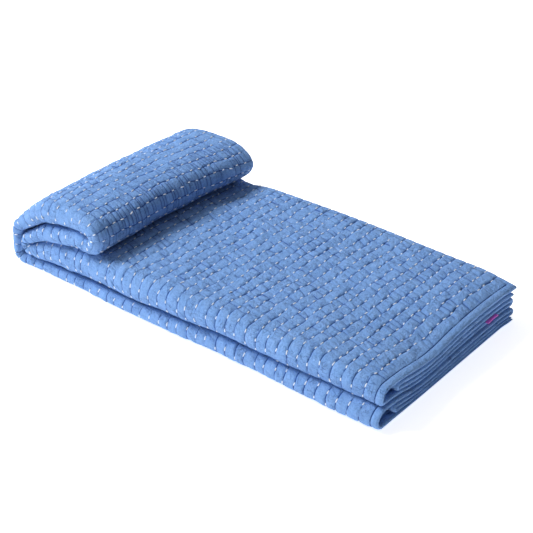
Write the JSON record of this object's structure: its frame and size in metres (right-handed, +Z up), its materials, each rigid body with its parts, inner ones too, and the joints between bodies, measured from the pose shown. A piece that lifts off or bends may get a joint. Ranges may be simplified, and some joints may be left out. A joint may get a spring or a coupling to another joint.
{
  "type": "folded quilt",
  "caption": "Hand-stitched cotton quilt with bound edges, folded into a long flat strip with its folded end turned over in a flat roll.",
  "frame": {"origin": "centre of the bounding box of the folded quilt, on the floor it lies on", "axes": "+X along the strip from the roll to the open ends, +Y from the near bends to the far folds, +Z up"},
  "size_m": [0.491, 0.2442, 0.0951],
  "materials": {
    "quilted_cotton": "matte, soft, hand-stitched and puckered",
    "cotton_binding": "matte, plain weave",
    "woven_ribbon": "slight sheen, tightly woven"
  },
  "bodies": {
    "root": {"quilt": "quilted_cotton", "binding": "cotton_binding", "label": "woven_ribbon"}
  },
  "joints": []
}
